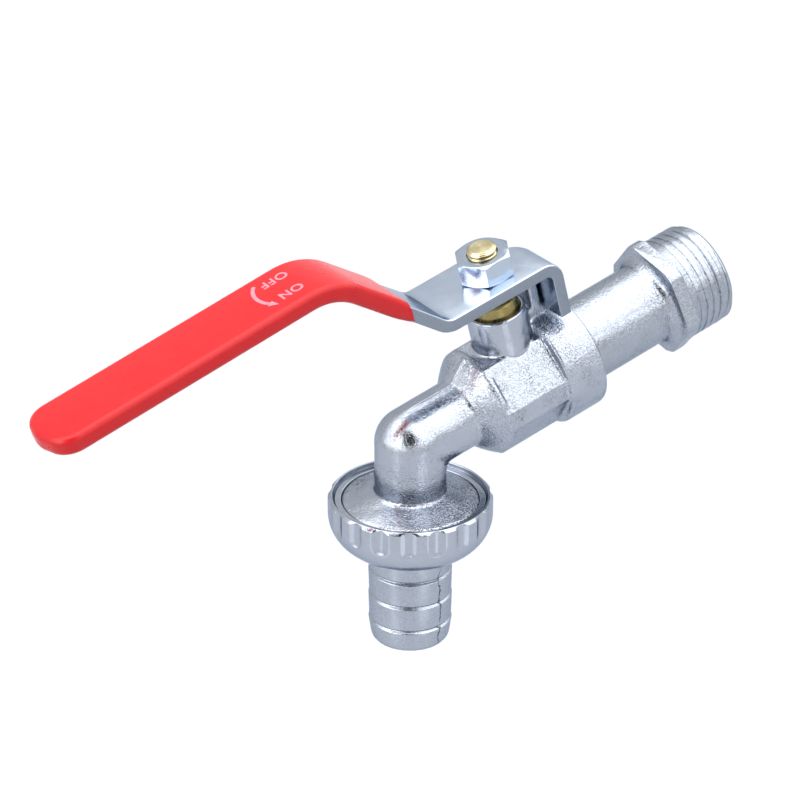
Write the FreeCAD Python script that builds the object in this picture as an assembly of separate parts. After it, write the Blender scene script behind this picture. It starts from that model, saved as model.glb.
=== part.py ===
import FreeCAD, Part
import math
import os

V = FreeCAD.Vector

# Frame: origin on the pipe axis at the thread side of the inlet hexagon,
# +X out along the inlet, +Z up along the stem. All values in mm.

# Clearances between pieces: flat faces, round running fits, threads, and loose or swung fits.
FACE_GAP = 0.05
RUN_GAP = 0.05
THREAD_GAP = 0.0195
SIDE_GAP = 0.3
EDGE = 0.3

# Inlet tail.
STEM_X = -37.3
INLET_R = 20.955 / 2
INLET_LEN = 10.0
INLET_CHAMFER = 1.0
HEX_AF = 21.0
HEX_CORNER_R = 11.7
HEX_T = 3.0
HEX_ANGLES = (13, 73, 133, 193, 253, 313)
NECK_R = 8.24
NECK_FILLET = 2.0
INLET_BORE_R = 5.2
TAIL_SCREW_R = 9.0

# Ball and seats.
BALL_R = 7.3
BALL_PORT_R = 4.2
TANG_HALF_T = 1.42
TANG_HALF_L = 2.9
TANG_BOTTOM = 5.25
SLOT_HALF = TANG_HALF_T + 0.08
SLOT_BOTTOM = TANG_BOTTOM - 0.15
SEAT_OUT_R = 8.25
SEAT_IN_R = 4.7
SEAT_INNER = TANG_HALF_L + SIDE_GAP
SEAT_OUTER = 8.0
SEAT_GAP = 0.03

# Body.
COLLAR_R = 11.93
COLLAR_FRONT_X = STEM_X + 5.6
COLLAR_REAR_X = STEM_X + 14.2
COLLAR_ROUND = 0.6
CHAMBER_R = 11.15
CHAMBER_FRONT_X = STEM_X - 8.7
CHAMBER_BORE_R = SEAT_OUT_R + FACE_GAP
SHOULDER_BAND_R = 10.85
SHOULDER_FRONT_X = STEM_X - 12.9
SHOULDER_BELLY = (STEM_X - 10.6, 9.3)
RING_STEP = 0.8
TAIL_END_X = STEM_X + SEAT_OUTER
SCREW_RELIEF_X = COLLAR_REAR_X - 1.2
FLAT_ANGLES = (62, 118, 170, 190, 242, 298, 350, 370)
SPOUT_R = 6.94
SPOUT_BORE_R = 4.2
ELBOW_X = STEM_X - 24.36
OUTLET_TILT = 14.4
OUTLET_TUBE_R = 6.9
OUTLET_R = 26.441 / 2
OUTLET_FOOT_H = 10.35
OUTLET_EDGE_H = 12.05
OUTLET_END_H = 16.8
OUTLET_BORE_R = 4.6
BOSS_R = 5.8
BOSS_TOP = 17.6

# Stem, its rings and the gland nut, upwards from the chamber wall.
STEM_R = 3.7
STEM_BORE_R = STEM_R + RUN_GAP
STEM_FLANGE_R = 4.5
POCKET_R = STEM_FLANGE_R + RUN_GAP
FLANGE_BOTTOM = CHAMBER_BORE_R + FACE_GAP
FLANGE_TOP = FLANGE_BOTTOM + 1.0
WASHER_BOTTOM = FLANGE_TOP + FACE_GAP
WASHER_TOP = WASHER_BOTTOM + 0.6
GROOVE_R = 2.62
GROOVE_BOTTOM = WASHER_TOP + 0.4
GROOVE_TOP = GROOVE_BOTTOM + 1.2
PACKING_R = 4.85
PACKING_BOTTOM = GROOVE_TOP + 0.8
PACKING_TOP = PACKING_BOTTOM + 2.2
GLAND_TOP = BOSS_TOP + 2.6
GLAND_HEAD_R = 4.7
SPANNER_SLOT = 1.2
STEM_FLAT = 3.05
STEM_THREAD_R = 3.0
STEM_END_CHAMFER = 0.5

# Lever: sheet, plan outline with x from the stem, and the path of its middle line.
SHEET = 2.5
PLATE_TOP = 25.5
HEAD_HALF = 7.6
GRIP_HALF = 6.5
TAB_X = 10.65
TAB_BOTTOM = 13.2
TAB_FAR_Y = 2.2
RISE_SUM = 9.75
GRIP_REF_X = -65.0
GRIP_REF_Z = 43.15
GRIP_SLOPE = 0.0323
BEND_TAB = 2.6
BEND_LOW = 7.0
BEND_TOP = 13.0
TIP_X = -94.0
TIP_ROUND = 4.2
TIP_BULGE = 0.5
HEAD_END_X = -13.0
GRIP_START_X = -24.0
TAB_END_X = TAB_X + SHEET / 2 + 0.5
CORNER_START = (0.0, HEAD_HALF)
CORNER_BELLY = (7.2, 4.6)
CORNER_END = (TAB_X - 1.05, TAB_FAR_Y)
SLEEVE_T = 0.6
SLEEVE_END_SUM = 53.0

# Stop lug beside the boss, clear of the tab.
LUG_NEAR_X = 6.9
LUG_FAR_X = TAB_X - SHEET / 2 - SIDE_GAP
LUG_NEAR_Y = -1.8
LUG_FAR_Y = 5.2
LUG_TOP = 20.0
LUG_STOP_X = 11.6
LUG_STOP_Y = TAB_FAR_Y + SIDE_GAP
LUG_FOOT = 8.5
WEB_TOP = 14.2

# Handle nut.
NUT_AF = 10.0
NUT_H = 4.7
NUT_FACE_R = 4.95
NUT_CORNER_CUT = 0.45
STEM_TOP = PLATE_TOP + NUT_H + 1.3

# Hose joint, h downwards along the outlet axis from the elbow.
TAIL_FLANGE_R = 11.9
TAIL_ROOT_R = 8.1
TAIL_BORE_R = 5.6
SEAL_TOP_H = OUTLET_END_H + FACE_GAP
SEAL_END_H = SEAL_TOP_H + 1.75
TAIL_FLANGE_END_H = SEAL_END_H + 1.4
TAIL_END_H = 41.5
TAIL_END_ROUND = 2.0
BARB_H = TAIL_FLANGE_END_H + 6.35
BARB_PITCH = 5.35
BARBS = 3
BARB_R = 8.0
BARB_NECK_R = 7.65
BARB_GROOVE_R = 7.3
UNION_RIM_H = 11.3
UNION_BAND_R = 15.85
UNION_BAND_END_H = 14.8
UNION_BEVEL = 0.75
UNION_DOME_MID = (18.9, 14.45)
UNION_DOME_END = (22.2, 9.7)
UNION_THREAD_H = UNION_RIM_H + 1.2
UNION_THREAD_R = OUTLET_R + THREAD_GAP
UNION_MOUTH_R = UNION_THREAD_R + 1.26
UNION_RECESS_H = OUTLET_END_H + 0.5
UNION_RECESS_R = TAIL_FLANGE_R + SIDE_GAP
UNION_SHOULDER_H = TAIL_FLANGE_END_H + FACE_GAP
UNION_BOTTOM_H = UNION_SHOULDER_H + 2.35
UNION_HOLE_R = TAIL_ROOT_R + SIDE_GAP
SCALLOPS = 18
SCALLOP_R = 1.6
SCALLOP_DEPTH = 0.75
SCALLOP_END_H = 15.6

STEM_POS = V(STEM_X, 0, 0)
ELBOW = V(ELBOW_X, 0, 0)


def cyl_x(r, x0, x1):
    return Part.makeCylinder(r, x1 - x0, V(x0, 0, 0), V(1, 0, 0))


def cyl_z(r, z0, z1):
    return Part.makeCylinder(r, z1 - z0, V(STEM_X, 0, z0), V(0, 0, 1))


def box(x0, x1, y0, y1, z0, z1):
    return Part.makeBox(x1 - x0, y1 - y0, z1 - z0, V(x0, y0, z0))


def outline(points, to_vec):
    """Closed face. Two numbers draw a line to a point, four an arc through the first pair."""
    here = points[0][-2:]
    edges = []
    for point in points[1:] + [points[0]]:
        end = point[-2:]
        if len(point) == 4:
            edges.append(Part.Arc(to_vec(*here), to_vec(*point[:2]), to_vec(*end)).toShape())
        else:
            edges.append(Part.LineSegment(to_vec(*here), to_vec(*end)).toShape())
        here = end
    return Part.Face(Part.Wire(edges))


def turn(a, b, radius, middle, end):
    """Arc round the centre (a, b), through one angle in degrees and on to another."""
    m, e = math.radians(middle), math.radians(end)
    return (a + radius * math.cos(m), b + radius * math.sin(m),
            a + radius * math.cos(e), b + radius * math.sin(e))


def turned_x(points):
    """Solid turned about the pipe axis from (x, r) points."""
    face = outline(points, lambda x, r: V(x, 0, r))
    return face.revolve(V(0, 0, 0), V(1, 0, 0), 360)


def turned_z(points):
    """Solid turned about the stem axis from (z, r) points."""
    face = outline(points, lambda z, r: V(STEM_X + r, 0, z))
    return face.revolve(STEM_POS, V(0, 0, 1), 360)


def to_outlet(solid):
    """Carry a solid built downward along -Z onto the tilted outlet axis."""
    placed = solid.copy()
    placed.rotate(V(0, 0, 0), V(0, 1, 0), OUTLET_TILT)
    placed.translate(ELBOW)
    return placed


def turned_outlet(points):
    """Solid turned about the outlet axis from (h, r) points, h downward."""
    face = outline(points, lambda h, r: V(r, 0, -h))
    return to_outlet(face.revolve(V(0, 0, 0), V(0, 0, 1), 360))


def cyl_outlet(r, h0, h1):
    return to_outlet(Part.makeCylinder(r, h1 - h0, V(0, 0, -h1), V(0, 0, 1)))


def prism_x(radius, angles, x0, x1):
    pts = []
    for angle in angles:
        a = math.radians(angle)
        pts.append(V(x0, radius * math.cos(a), radius * math.sin(a)))
    pts.append(pts[0])
    return Part.Face(Part.makePolygon(pts)).extrude(V(x1 - x0, 0, 0))


def hexagon_z(across, z0, z1):
    r = across / 2 / math.cos(math.pi / 6)
    pts = [V(STEM_X + r * math.cos(k * math.pi / 3), r * math.sin(k * math.pi / 3), z0)
           for k in range(7)]
    return Part.Face(Part.makePolygon(pts)).extrude(V(0, 0, z1 - z0))


def save(name, shape):
    shape = shape.removeSplitter()
    if len(shape.Solids) == 1:
        shape = shape.Solids[0]
    shape.exportStep(os.path.join("parts", name + ".step"))
    print(name, "solids", len(shape.Solids), "valid", shape.isValid(),
          "volume", round(shape.Volume, 2))


os.makedirs("parts", exist_ok=True)


# Valve body: chamber, collar, shoulder, spout, knuckle, outlet, boss and lug in one casting.
chamber = prism_x(CHAMBER_R, FLAT_ANGLES, CHAMBER_FRONT_X, COLLAR_FRONT_X + 1)
collar = turned_x([
    (COLLAR_FRONT_X, 0), (COLLAR_FRONT_X, COLLAR_R - EDGE), (COLLAR_FRONT_X + EDGE, COLLAR_R),
    (COLLAR_REAR_X - COLLAR_ROUND, COLLAR_R),
    turn(COLLAR_REAR_X - COLLAR_ROUND, COLLAR_R - COLLAR_ROUND, COLLAR_ROUND, 45, 0),
    (COLLAR_REAR_X, 0)])
shoulder = turned_x([
    (SHOULDER_FRONT_X, 0), (SHOULDER_FRONT_X, SPOUT_R),
    SHOULDER_BELLY + (CHAMBER_FRONT_X, SHOULDER_BAND_R),
    (CHAMBER_FRONT_X + 1, SHOULDER_BAND_R), (CHAMBER_FRONT_X + 1, 0)])
spout = cyl_x(SPOUT_R, ELBOW_X, STEM_X - SEAT_OUTER)
knuckle = Part.makeSphere(SPOUT_R, ELBOW)
outlet = turned_outlet([
    (0, 0), (0, OUTLET_TUBE_R), (OUTLET_FOOT_H, OUTLET_TUBE_R),
    (OUTLET_EDGE_H, OUTLET_R - EDGE), (OUTLET_EDGE_H + EDGE, OUTLET_R),
    (OUTLET_END_H - 2 * EDGE, OUTLET_R), (OUTLET_END_H, OUTLET_R - 2 * EDGE),
    (OUTLET_END_H, 0)])
boss = turned_z([
    (0, 0), (0, BOSS_R), (BOSS_TOP - EDGE, BOSS_R), (BOSS_TOP, BOSS_R - EDGE), (BOSS_TOP, 0)])
lug = box(STEM_X + LUG_NEAR_X, STEM_X + LUG_FAR_X, LUG_NEAR_Y, LUG_FAR_Y, LUG_FOOT, LUG_TOP)
lug_stop = box(
    STEM_X + LUG_NEAR_X, STEM_X + LUG_STOP_X, LUG_STOP_Y, LUG_FAR_Y, LUG_FOOT, LUG_TOP)
web = box(STEM_X, STEM_X + LUG_FAR_X, LUG_NEAR_Y, LUG_FAR_Y, LUG_FOOT, WEB_TOP)
body = chamber.fuse([collar, shoulder, spout, knuckle, outlet, boss, lug, lug_stop, web])
hollow = cyl_x(CHAMBER_BORE_R, STEM_X - SEAT_OUTER, TAIL_END_X - RING_STEP)
hollow = hollow.fuse([
    cyl_x(TAIL_SCREW_R, TAIL_END_X - RING_STEP, COLLAR_REAR_X + 1),
    cyl_x(SPOUT_BORE_R, ELBOW_X, STEM_X),
    Part.makeSphere(SPOUT_BORE_R, ELBOW),
    cyl_outlet(SPOUT_BORE_R, 0, OUTLET_FOOT_H),
    cyl_outlet(OUTLET_BORE_R, OUTLET_FOOT_H, OUTLET_END_H + 1),
    cyl_z(POCKET_R, BALL_R, WASHER_TOP),
    cyl_z(STEM_BORE_R, BALL_R, PACKING_BOTTOM),
    cyl_z(PACKING_R, PACKING_BOTTOM, BOSS_TOP + 1)])
save("valve_body", body.cut(hollow))


# Inlet tail: screwed end, neck, hexagon with turned corners, male thread, through bore.
tail = turned_x([
    (TAIL_END_X, 0), (TAIL_END_X, TAIL_SCREW_R - EDGE), (TAIL_END_X + EDGE, TAIL_SCREW_R),
    (SCREW_RELIEF_X, TAIL_SCREW_R), (SCREW_RELIEF_X + EDGE, NECK_R),
    (-HEX_T - NECK_FILLET, NECK_R),
    turn(-HEX_T - NECK_FILLET, NECK_R + NECK_FILLET, NECK_FILLET, -45, 0),
    (0, NECK_R + NECK_FILLET), (0, INLET_R), (INLET_LEN - INLET_CHAMFER, INLET_R),
    (INLET_LEN, INLET_R - INLET_CHAMFER), (INLET_LEN, 0)])
hexagon = prism_x(HEX_AF / 2 / math.cos(math.pi / 6), HEX_ANGLES, -HEX_T, 0)
hexagon = hexagon.common(turned_x([
    (-HEX_T, 0), (-HEX_T, HEX_CORNER_R - EDGE), (-HEX_T + EDGE, HEX_CORNER_R),
    (-EDGE, HEX_CORNER_R), (0, HEX_CORNER_R - EDGE), (0, 0)]))
save("inlet_tail", tail.fuse(hexagon).cut(cyl_x(INLET_BORE_R, TAIL_END_X - 1, INLET_LEN + 1)))


# Joint ring: flat ring between the body step and the screwed end of the inlet tail.
ring = cyl_x(TAIL_SCREW_R, TAIL_END_X - RING_STEP, TAIL_END_X)
save("joint_ring", ring.cut(cyl_x(CHAMBER_BORE_R, TAIL_END_X - 2, TAIL_END_X + 1)))


# Ball: through port along the pipe and a slot across its top for the stem tang.
ball = Part.makeSphere(BALL_R, STEM_POS)
ball = ball.cut(cyl_x(BALL_PORT_R, STEM_X - SEAT_OUTER, STEM_X + SEAT_OUTER))
ball = ball.cut(box(
    STEM_X - SLOT_HALF, STEM_X + SLOT_HALF, -SEAT_OUTER, SEAT_OUTER, SLOT_BOTTOM, SEAT_OUTER))
save("ball", ball)


# Seats: one ring each side of the ball, faced to the ball's sphere.
seat_ball = Part.makeSphere(BALL_R + SEAT_GAP, STEM_POS)
for name, side in (("front_seat", -1), ("rear_seat", 1)):
    ends = sorted((side * SEAT_INNER, side * SEAT_OUTER))
    seat = cyl_x(SEAT_OUT_R, STEM_X + ends[0], STEM_X + ends[1])
    seat = seat.cut(cyl_x(SEAT_IN_R, STEM_X - SEAT_OUTER, STEM_X + SEAT_OUTER))
    save(name, seat.cut(seat_ball))


# Stem: tang, inner flange, journal with ring groove, two flats for the lever, threaded end.
FLAT_TOP = PLATE_TOP - 2 * FACE_GAP
stem = turned_z([
    (TANG_BOTTOM, 0), (TANG_BOTTOM, TANG_HALF_L), (FLANGE_BOTTOM, TANG_HALF_L),
    (FLANGE_BOTTOM, STEM_FLANGE_R), (FLANGE_TOP, STEM_FLANGE_R), (FLANGE_TOP, STEM_R),
    (GROOVE_BOTTOM, STEM_R), (GROOVE_BOTTOM, GROOVE_R), (GROOVE_TOP, GROOVE_R),
    (GROOVE_TOP, STEM_R), (FLAT_TOP, STEM_R), (FLAT_TOP, STEM_THREAD_R),
    (STEM_TOP - STEM_END_CHAMFER, STEM_THREAD_R),
    (STEM_TOP, STEM_THREAD_R - STEM_END_CHAMFER), (STEM_TOP, 0)])
for side in (-1, 1):
    tang_x = sorted((side * TANG_HALF_T, side * POCKET_R))
    flat_y = sorted((side * STEM_FLAT, side * POCKET_R))
    stem = stem.cut(box(STEM_X + tang_x[0], STEM_X + tang_x[1], -POCKET_R, POCKET_R,
                        TANG_BOTTOM, FLANGE_BOTTOM))
    stem = stem.cut(box(STEM_X - POCKET_R, STEM_X + POCKET_R, flat_y[0], flat_y[1],
                        PLATE_TOP - SHEET, FLAT_TOP))
save("stem", stem)


# Thrust washer between the stem flange and the body.
washer = cyl_z(STEM_FLANGE_R, WASHER_BOTTOM, WASHER_TOP)
save("thrust_washer", washer.cut(cyl_z(STEM_BORE_R, WASHER_BOTTOM, WASHER_TOP)))


# Stem ring: round-section rubber ring in the stem groove.
ring_r = (STEM_BORE_R - THREAD_GAP - GROOVE_R) / 2
mid_z = (GROOVE_BOTTOM + GROOVE_TOP) / 2
save("stem_o_ring", Part.makeTorus(GROOVE_R + ring_r, ring_r, V(STEM_X, 0, mid_z), V(0, 0, 1)))


# Packing: soft ring pressed round the stem by the gland nut.
packing = cyl_z(PACKING_R, PACKING_BOTTOM, PACKING_TOP)
save("stem_packing", packing.cut(cyl_z(STEM_BORE_R, PACKING_BOTTOM, PACKING_TOP)))


# Gland nut: brass plug screwed into the boss, two spanner slots in its head.
gland = turned_z([
    (PACKING_TOP, 0), (PACKING_TOP, PACKING_R), (BOSS_TOP, PACKING_R),
    (BOSS_TOP, GLAND_HEAD_R), (GLAND_TOP - EDGE, GLAND_HEAD_R),
    (GLAND_TOP, GLAND_HEAD_R - EDGE), (GLAND_TOP, 0)])
gland = gland.cut(cyl_z(STEM_BORE_R, PACKING_TOP, GLAND_TOP))
gland = gland.cut(box(STEM_X - PACKING_R, STEM_X + PACKING_R, -SPANNER_SLOT / 2,
                      SPANNER_SLOT / 2, GLAND_TOP - SPANNER_SLOT, GLAND_TOP))
save("gland_nut", gland)


# Lever: one bent strip. Path from the tab's foot over the head and rise to the grip tip.
PLATE_MID = PLATE_TOP - SHEET / 2
TILT = math.atan(GRIP_SLOPE)
LINES = (
    ((TAB_X, TAB_BOTTOM), (0, 1)),
    ((0, PLATE_MID), (-1, 0)),
    ((RISE_SUM - 30, 30), (-math.sqrt(0.5), math.sqrt(0.5))),
    ((GRIP_REF_X, GRIP_REF_Z), (-math.cos(TILT), -math.sin(TILT))))
BENDS = ((BEND_TAB, 1), (BEND_LOW, -1), (BEND_TOP, 1))


def cross_point(first, second):
    (ax, az), (ux, uz) = first
    (bx, bz), (vx, vz) = second
    det = ux * -vz + uz * vx
    s = ((bx - ax) * -vz + (bz - az) * vx) / det
    return ax + ux * s, az + uz * s


def offset_edges(t, start_s, tip_x):
    """Edges of the path moved by t to its outer side, as lines and arcs.

    start_s is None to start at the tab's foot, or the value of z - x
    at which the run begins on the rise."""
    moved = [((p[0] + t * u[1], p[1] - t * u[0]), u) for p, u in LINES]
    corners = [cross_point(moved[i], moved[i + 1]) for i in range(3)]
    first = 0 if start_s is None else 2
    if start_s is None:
        here = moved[0][0]
    else:
        total = moved[2][0][0] + moved[2][0][1]
        here = ((total - start_s) / 2, (total + start_s) / 2)
    edges = []
    for i in range(first, 3):
        u, w = moved[i][1], moved[i + 1][1]
        radius = BENDS[i][0] + BENDS[i][1] * t
        turn = math.acos(max(-1, min(1, u[0] * w[0] + u[1] * w[1])))
        cut = radius * math.tan(turn / 2)
        c = corners[i]
        a = (c[0] - u[0] * cut, c[1] - u[1] * cut)
        b = (c[0] + w[0] * cut, c[1] + w[1] * cut)
        bis = (w[0] - u[0], w[1] - u[1])
        size = math.hypot(*bis)
        reach = radius / math.cos(turn / 2) - radius
        m = (c[0] + bis[0] / size * reach, c[1] + bis[1] / size * reach)
        edges.append(Part.LineSegment(V(here[0], 0, here[1]), V(a[0], 0, a[1])).toShape())
        edges.append(Part.Arc(V(a[0], 0, a[1]), V(m[0], 0, m[1]), V(b[0], 0, b[1])).toShape())
        here = b
    p, u = moved[3]
    s = (tip_x - p[0]) / u[0]
    tip = (tip_x, p[1] + u[1] * s)
    edges.append(Part.LineSegment(V(here[0], 0, here[1]), V(tip[0], 0, tip[1])).toShape())
    return edges


def strip(outer_t, inner_t, start_s, tip_x):
    outer = offset_edges(outer_t, start_s, tip_x)
    inner = offset_edges(inner_t, start_s, tip_x)
    o_start, o_end = outer[0].Vertexes[0].Point, outer[-1].Vertexes[-1].Point
    i_start, i_end = inner[0].Vertexes[0].Point, inner[-1].Vertexes[-1].Point
    joins = [Part.LineSegment(o_start, i_start).toShape(),
             Part.LineSegment(o_end, i_end).toShape()]
    wire = Part.Wire(Part.__sortEdges__(outer + inner + joins))
    solid = Part.Face(wire).extrude(V(0, 40, 0))
    solid.translate(V(STEM_X, -20, 0))
    return solid


def plan(grow):
    """Outline of the lever seen from above, grown by grow, as a tall prism."""
    g = GRIP_HALF + grow
    h = HEAD_HALF + grow
    tip = TIP_X - grow
    r = TIP_ROUND + grow
    inner = tip + TIP_BULGE + r
    points = [
        (TAB_END_X, -h), (HEAD_END_X, -h), (GRIP_START_X, -g), (inner, -g),
        turn(inner, r - g, r, 225, 180), (tip, 0, inner - r, g - r),
        turn(inner, g - r, r, 135, 90), (GRIP_START_X, g), (HEAD_END_X, h), CORNER_START,
        CORNER_BELLY + CORNER_END, (TAB_END_X, TAB_FAR_Y)]
    face = outline(points, lambda x, y: V(STEM_X + x, y, 0))
    return face.extrude(V(0, 0, 60))


lever = strip(SHEET / 2, -SHEET / 2, None, TIP_X - 1).common(plan(0))
hole = cyl_z(STEM_R, PLATE_TOP - SHEET, PLATE_TOP)
hole = hole.common(box(STEM_X - STEM_R, STEM_X + STEM_R, -STEM_FLAT, STEM_FLAT,
                       PLATE_TOP - SHEET, PLATE_TOP))
lever = lever.cut(hole)
save("lever", lever)


# Grip sleeve: even soft coat over grip and rise, closed at the tip.
half = SHEET / 2 + SLEEVE_T
sleeve = strip(half, -half, SLEEVE_END_SUM, TIP_X - 2).common(plan(SLEEVE_T))
save("grip_sleeve", sleeve.cut(lever))


# Handle nut: hexagon nut with both faces chamfered.
nut_top = PLATE_TOP + NUT_H
nut_r = NUT_AF / 2 / math.cos(math.pi / 6)
nut = hexagon_z(NUT_AF, PLATE_TOP, nut_top).common(turned_z([
    (PLATE_TOP, 0), (PLATE_TOP, NUT_FACE_R), (PLATE_TOP + NUT_CORNER_CUT, nut_r),
    (nut_top - NUT_CORNER_CUT, nut_r), (nut_top, NUT_FACE_R), (nut_top, 0)]))
save("handle_nut", nut.cut(cyl_z(STEM_THREAD_R, PLATE_TOP, nut_top)))


# Union nut: mouth rim, scalloped band, domed underside, thread, recess and shoulder.
union = turned_outlet([
    (UNION_RIM_H, UNION_MOUTH_R), (UNION_RIM_H, UNION_BAND_R - UNION_BEVEL),
    (UNION_RIM_H + UNION_BEVEL, UNION_BAND_R), (UNION_BAND_END_H, UNION_BAND_R),
    UNION_DOME_MID + UNION_DOME_END, (UNION_BOTTOM_H, UNION_DOME_END[1] - EDGE),
    (UNION_BOTTOM_H, UNION_HOLE_R), (UNION_SHOULDER_H, UNION_HOLE_R),
    (UNION_SHOULDER_H, UNION_RECESS_R), (UNION_RECESS_H, UNION_RECESS_R),
    (UNION_RECESS_H, UNION_THREAD_R), (UNION_THREAD_H, UNION_THREAD_R)])
scallop_x = UNION_BAND_R + SCALLOP_R - SCALLOP_DEPTH
scallop = Part.makeCylinder(SCALLOP_R, SCALLOP_END_H - UNION_RIM_H + 1,
                            V(scallop_x, 0, -SCALLOP_END_H), V(0, 0, 1))
scallop = scallop.fuse(Part.makeSphere(SCALLOP_R, V(scallop_x, 0, -SCALLOP_END_H)))
cuts = []
for k in range(SCALLOPS):
    one = scallop.copy()
    one.rotate(V(0, 0, 0), V(0, 0, 1), 360.0 / SCALLOPS * k)
    cuts.append(to_outlet(one))
save("union_nut", union.cut(cuts))


# Hose washer: flat seal between outlet face and hose tail.
flat_seal = cyl_outlet(TAIL_FLANGE_R, SEAL_TOP_H, SEAL_END_H)
save("hose_washer", flat_seal.cut(cyl_outlet(TAIL_BORE_R, SEAL_TOP_H, SEAL_END_H)))


# Hose tail: flange held by the union nut, three barb grooves, rounded end, through bore.
barbs = [(TAIL_FLANGE_END_H, TAIL_ROOT_R)]
for k in range(BARBS):
    h = BARB_H + k * BARB_PITCH
    barbs += [(h - 0.4, BARB_NECK_R), (h, BARB_GROOVE_R), (h + 0.6, BARB_R - 0.1),
              (h + 1.4, BARB_R, h + 2.2, BARB_R - 0.1)]
end_r = BARB_NECK_R - TAIL_END_ROUND
end_h = TAIL_END_H - TAIL_END_ROUND
hose = turned_outlet([
    (SEAL_END_H, TAIL_BORE_R), (SEAL_END_H, TAIL_FLANGE_R),
    (TAIL_FLANGE_END_H, TAIL_FLANGE_R)] + barbs + [
    (end_h, BARB_NECK_R), turn(end_h, end_r, TAIL_END_ROUND, 45, 0),
    (TAIL_END_H, TAIL_BORE_R)])
save("hose_tail", hose)
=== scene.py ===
import bmesh
import bpy
import math
from mathutils import Matrix, Vector


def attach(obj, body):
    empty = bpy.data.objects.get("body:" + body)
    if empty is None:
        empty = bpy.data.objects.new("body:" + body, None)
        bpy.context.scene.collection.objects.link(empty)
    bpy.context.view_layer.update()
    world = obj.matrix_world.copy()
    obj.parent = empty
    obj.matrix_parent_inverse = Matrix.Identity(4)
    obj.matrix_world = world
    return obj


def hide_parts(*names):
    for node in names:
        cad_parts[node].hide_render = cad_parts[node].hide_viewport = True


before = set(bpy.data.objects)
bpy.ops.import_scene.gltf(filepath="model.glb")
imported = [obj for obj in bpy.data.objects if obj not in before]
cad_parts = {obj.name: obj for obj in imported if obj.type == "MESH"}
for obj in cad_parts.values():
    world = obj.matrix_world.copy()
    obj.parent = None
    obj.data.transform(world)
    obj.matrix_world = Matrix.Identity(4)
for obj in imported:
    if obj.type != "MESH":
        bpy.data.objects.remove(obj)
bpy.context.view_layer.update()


# Valve body. One brass casting with the ball chamber, collar, stem boss, stop lug, spout and
# outlet. It is cast, tumbled and chrome plated, so its edges are soft and its skin is grainy.

MM = 0.001
STEM_X = -37.3
ELBOW_X = -61.66
OUTLET_TILT = math.radians(14.4)
OUTLET_ROOT_R = 26.441 / 2 - 1.162
OUTLET_THREAD_H = (12.35, 16.8)
CAST_VOXEL = 0.33
TO_OUTLET = Matrix.Translation((ELBOW_X, 0, 0)) @ Matrix.Rotation(OUTLET_TILT, 4, "Y")
FROM_OUTLET = TO_OUTLET.inverted()


def linear(hex_colour):
    """sRGB hex, such as A9B6C8, to the linear colour that a shader takes."""
    parts = [int(hex_colour[i:i + 2], 16) / 255 for i in (0, 2, 4)]
    return [p / 12.92 if p <= 0.04045 else ((p + 0.055) / 1.055) ** 2.4 for p in parts] + [1.0]


def first_out(source):
    """First output in use of a node. A socket is given back as it is."""
    if isinstance(source, bpy.types.NodeSocket):
        return source
    return next(output for output in source.outputs if output.enabled)


def add(tree, kind, inputs=None, **settings):
    """One node with its settings. inputs holds values, or the sockets or nodes that feed it."""
    node = tree.nodes.new(kind)
    for name, value in settings.items():
        setattr(node, name, value)
    for socket, value in (inputs or {}).items():
        if isinstance(value, (bpy.types.Node, bpy.types.NodeSocket)):
            tree.links.new(first_out(value), node.inputs[socket])
        else:
            node.inputs[socket].default_value = value
    return node


def new_finish(name):
    """Empty material with its tree, its principled shader and object coordinates in mm."""
    material = bpy.data.materials.new(name)
    material.use_nodes = True
    tree = material.node_tree
    shader = tree.nodes["Principled BSDF"]
    place = add(tree, "ShaderNodeTexCoord").outputs["Object"]
    in_mm = add(tree, "ShaderNodeVectorMath", {0: place, 1: (1000, 1000, 1000)},
                operation="MULTIPLY")
    return material, tree, shader, in_mm


METAL_TINT = "C4CCD6"


def lay_on(tree, shader, shade=None, rough=None, bump=None, metal=True):
    """Feeds colour, roughness and normal to a finish's shader, a metal's with a cool edge tint."""
    for socket, source in (("Base Color", shade), ("Roughness", rough), ("Normal", bump)):
        if source:
            tree.links.new(first_out(source), shader.inputs[socket])
    if metal:
        shader.inputs["Metallic"].default_value = 1.0
        shader.inputs["Specular Tint"].default_value = linear(METAL_TINT)


SWELL_MM = 4.5
SWELL_DEPTH = 0.0006
PIT_DEPTH = 0.00003
GRAIN_DEPTH = 0.00005
# A lighter tone of the chrome, then the dark greys of painted shade in pits and in corners.
CHROME_LIGHT, CHROME_PIT_SHADE, CHROME_CORNER_SHADE = "AFB5BF", "3A3E46", "585C64"
SPOUT_SHARE, DISC_SHARE, BOSS_SHARE = 0.45, 1.8, 0.2
BOSS_RIM = (5.9, 6.6)
DISC_Z = (-8.0, -10.5)


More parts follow.
